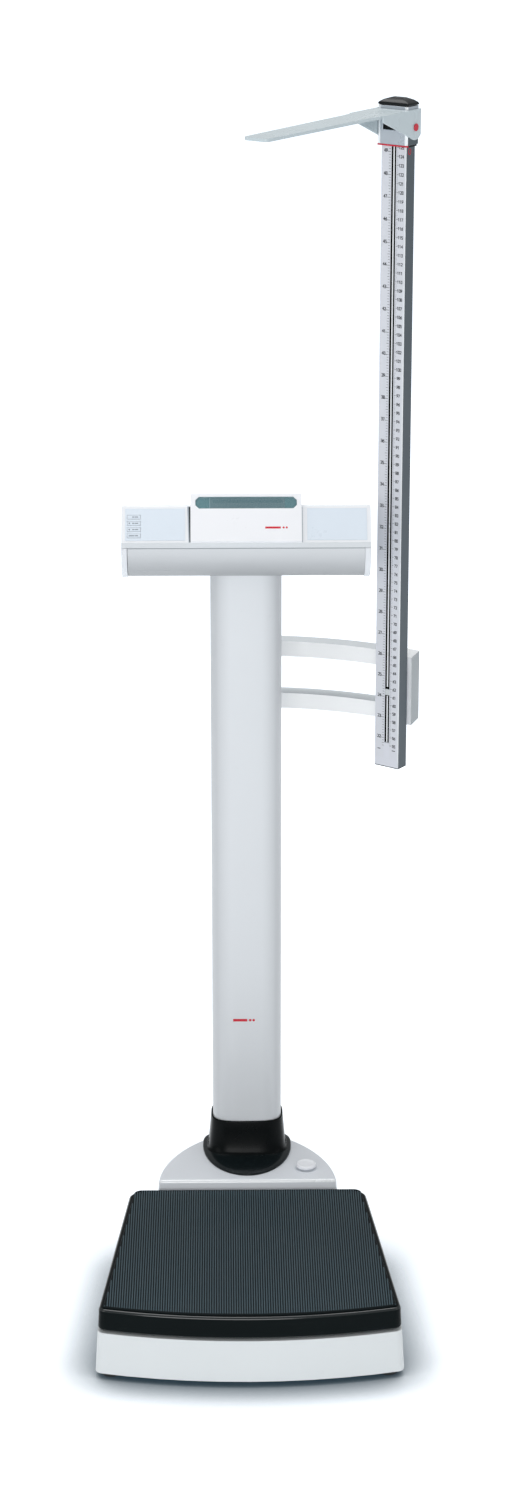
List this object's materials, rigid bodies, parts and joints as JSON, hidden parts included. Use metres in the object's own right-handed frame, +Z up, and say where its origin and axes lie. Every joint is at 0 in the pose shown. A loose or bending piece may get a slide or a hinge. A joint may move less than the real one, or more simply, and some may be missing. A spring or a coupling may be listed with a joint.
{
  "type": "column scale",
  "caption": "Digital column scale for weighing a standing person, with a display head on a column and a telescopic height rod with a folding headpiece.",
  "frame": {"origin": "on the floor under the platform, 2 mm in front of its centre, level with the undersides of the four feet", "axes": "+Z up, +X to the right of a person who faces the display, +Y from the platform's front towards the column"},
  "size_m": [0.3776, 0.5145, 1.372],
  "materials": {
    "base_housing": "satin",
    "base_plate": "matte",
    "castor_axles": "satin",
    "load_cells": "satin",
    "platform_tray": "gloss",
    "rubber_mat": "matte",
    "rear_cover": "satin",
    "button_spring": "satin",
    "foot_switch": "matte",
    "column_socket": "matte",
    "column_bolts": "satin",
    "foot_flange": "satin",
    "foot_collar": "satin",
    "column_tube": "satin",
    "signal_cable": "matte",
    "head_bracket": "satin",
    "head_lower_shell": "satin",
    "head_upper_shell": "satin",
    "left_end_cap": "satin",
    "right_end_cap": "satin",
    "display_housing": "satin",
    "display_window": "gloss",
    "display_module": "satin",
    "left_pad": "satin",
    "right_pad": "satin",
    "circuit_board": "satin",
    "battery_pack": "matte",
    "head_screws": "satin",
    "arm_saddle": "satin",
    "upper_arm": "satin",
    "lower_arm": "satin",
    "rod_block": "satin",
    "bracket_screws": "satin",
    "rod_profile": "satin",
    "inch_scale": "satin",
    "cm_scale": "satin",
    "slot_stop": "gloss",
    "rod_end_cap": "satin",
    "front_left_foot": "matte",
    "front_right_foot": "matte",
    "rear_left_foot": "matte",
    "rear_right_foot": "matte",
    "left_castor_wheel": "matte",
    "right_castor_wheel": "matte",
    "foot_button": "satin",
    "key_1": "satin",
    "key_2": "satin",
    "key_3": "satin",
    "key_4": "satin",
    "battery_door": "satin",
    "inner_profile": "satin",
    "rod_cap": "gloss",
    "carrier_sleeve": "satin",
    "carrier_glide": "satin",
    "reading_line": "satin",
    "carrier_brake": "matte",
    "pivot_pins": "satin",
    "pivot_caps": "gloss",
    "headpiece_blade": "satin"
  },
  "bodies": {
    "stand": {"base_housing": "base_housing", "base_plate": "base_plate", "castor_axles": "castor_axles", "load_cells": "load_cells", "platform_tray": "platform_tray", "rubber_mat": "rubber_mat", "rear_cover": "rear_cover", "button_spring": "button_spring", "foot_switch": "foot_switch", "column_socket": "column_socket", "column_bolts": "column_bolts", "foot_flange": "foot_flange", "foot_collar": "foot_collar", "column_tube": "column_tube", "signal_cable": "signal_cable", "head_bracket": "head_bracket", "head_lower_shell": "head_lower_shell", "head_upper_shell": "head_upper_shell", "left_end_cap": "left_end_cap", "right_end_cap": "right_end_cap", "display_housing": "display_housing", "display_window": "display_window", "display_module": "display_module", "left_pad": "left_pad", "right_pad": "right_pad", "circuit_board": "circuit_board", "battery_pack": "battery_pack", "head_screws": "head_screws", "arm_saddle": "arm_saddle", "upper_arm": "upper_arm", "lower_arm": "lower_arm", "rod_block": "rod_block", "bracket_screws": "bracket_screws", "rod_profile": "rod_profile", "inch_scale": "inch_scale", "cm_scale": "cm_scale", "slot_stop": "slot_stop", "rod_end_cap": "rod_end_cap"},
    "front_left_foot": {"front_left_foot": "front_left_foot"},
    "front_right_foot": {"front_right_foot": "front_right_foot"},
    "rear_left_foot": {"rear_left_foot": "rear_left_foot"},
    "rear_right_foot": {"rear_right_foot": "rear_right_foot"},
    "left_castor": {"left_castor_wheel": "left_castor_wheel"},
    "right_castor": {"right_castor_wheel": "right_castor_wheel"},
    "foot_button": {"foot_button": "foot_button"},
    "key_1": {"key_1": "key_1"},
    "key_2": {"key_2": "key_2"},
    "key_3": {"key_3": "key_3"},
    "key_4": {"key_4": "key_4"},
    "battery_door": {"battery_door": "battery_door"},
    "inner_rod": {"inner_profile": "inner_profile", "rod_cap": "rod_cap"},
    "carrier": {"carrier_sleeve": "carrier_sleeve", "carrier_glide": "carrier_glide", "reading_line": "reading_line", "carrier_brake": "carrier_brake", "pivot_pins": "pivot_pins", "pivot_caps": "pivot_caps"},
    "headpiece": {"headpiece_blade": "headpiece_blade"}
  },
  "joints": [
    {"name": "front_left_foot_turn", "type": "hinge", "parent": "stand", "child": "front_left_foot", "pos_m": [-0.156, -0.121, 0.02], "axis": [0, 0, 1], "continuous": true},
    {"name": "front_right_foot_turn", "type": "hinge", "parent": "stand", "child": "front_right_foot", "pos_m": [0.156, -0.121, 0.02], "axis": [0, 0, 1], "continuous": true},
    {"name": "rear_left_foot_turn", "type": "hinge", "parent": "stand", "child": "rear_left_foot", "pos_m": [-0.126, 0.134, 0.02], "axis": [0, 0, 1], "continuous": true},
    {"name": "rear_right_foot_turn", "type": "hinge", "parent": "stand", "child": "rear_right_foot", "pos_m": [0.126, 0.134, 0.02], "axis": [0, 0, 1], "continuous": true},
    {"name": "left_castor_roll", "type": "hinge", "parent": "stand", "child": "left_castor", "pos_m": [-0.062, 0.27, 0.0185], "axis": [1, 0, 0], "continuous": true},
    {"name": "right_castor_roll", "type": "hinge", "parent": "stand", "child": "right_castor", "pos_m": [0.062, 0.27, 0.0185], "axis": [1, 0, 0], "continuous": true},
    {"name": "foot_button_press", "type": "slide", "parent": "stand", "child": "foot_button", "axis": [0, 0, -1], "range_m": [0, 0.002], "stiffness_N_per_m": 900, "springref_m": -0.001, "deforming": ["button_spring"]},
    {"name": "key_1_press", "type": "slide", "parent": "stand", "child": "key_1", "axis": [0, 0.7986, -0.6018], "range_m": [0, 0.0005], "stiffness_N_per_m": 1500, "springref_m": -0.0003},
    {"name": "key_2_press", "type": "slide", "parent": "stand", "child": "key_2", "axis": [0, 0.7986, -0.6018], "range_m": [0, 0.0005], "stiffness_N_per_m": 1500, "springref_m": -0.0003},
    {"name": "key_3_press", "type": "slide", "parent": "stand", "child": "key_3", "axis": [0, 0.7986, -0.6018], "range_m": [0, 0.0005], "stiffness_N_per_m": 1500, "springref_m": -0.0003},
    {"name": "key_4_press", "type": "slide", "parent": "stand", "child": "key_4", "axis": [0, 0.7986, -0.6018], "range_m": [0, 0.0005], "stiffness_N_per_m": 1500, "springref_m": -0.0003},
    {"name": "battery_door_slide", "type": "slide", "parent": "stand", "child": "battery_door", "axis": [0, 1, 0], "range_m": [0, 0.03]},
    {"name": "telescope", "type": "slide", "parent": "stand", "child": "inner_rod", "axis": [0, 0, 1], "range_m": [0, 0.65]},
    {"name": "carrier_slide", "type": "slide", "parent": "inner_rod", "child": "carrier", "axis": [0, 0, 1], "range_m": [-0.4, 0]},
    {"name": "headpiece_fold", "type": "hinge", "parent": "carrier", "child": "headpiece", "pos_m": [0.17, 0.26088, 1.3405], "axis": [0.809, -0.5878, 0], "range_deg": [0, 90]}
  ]
}
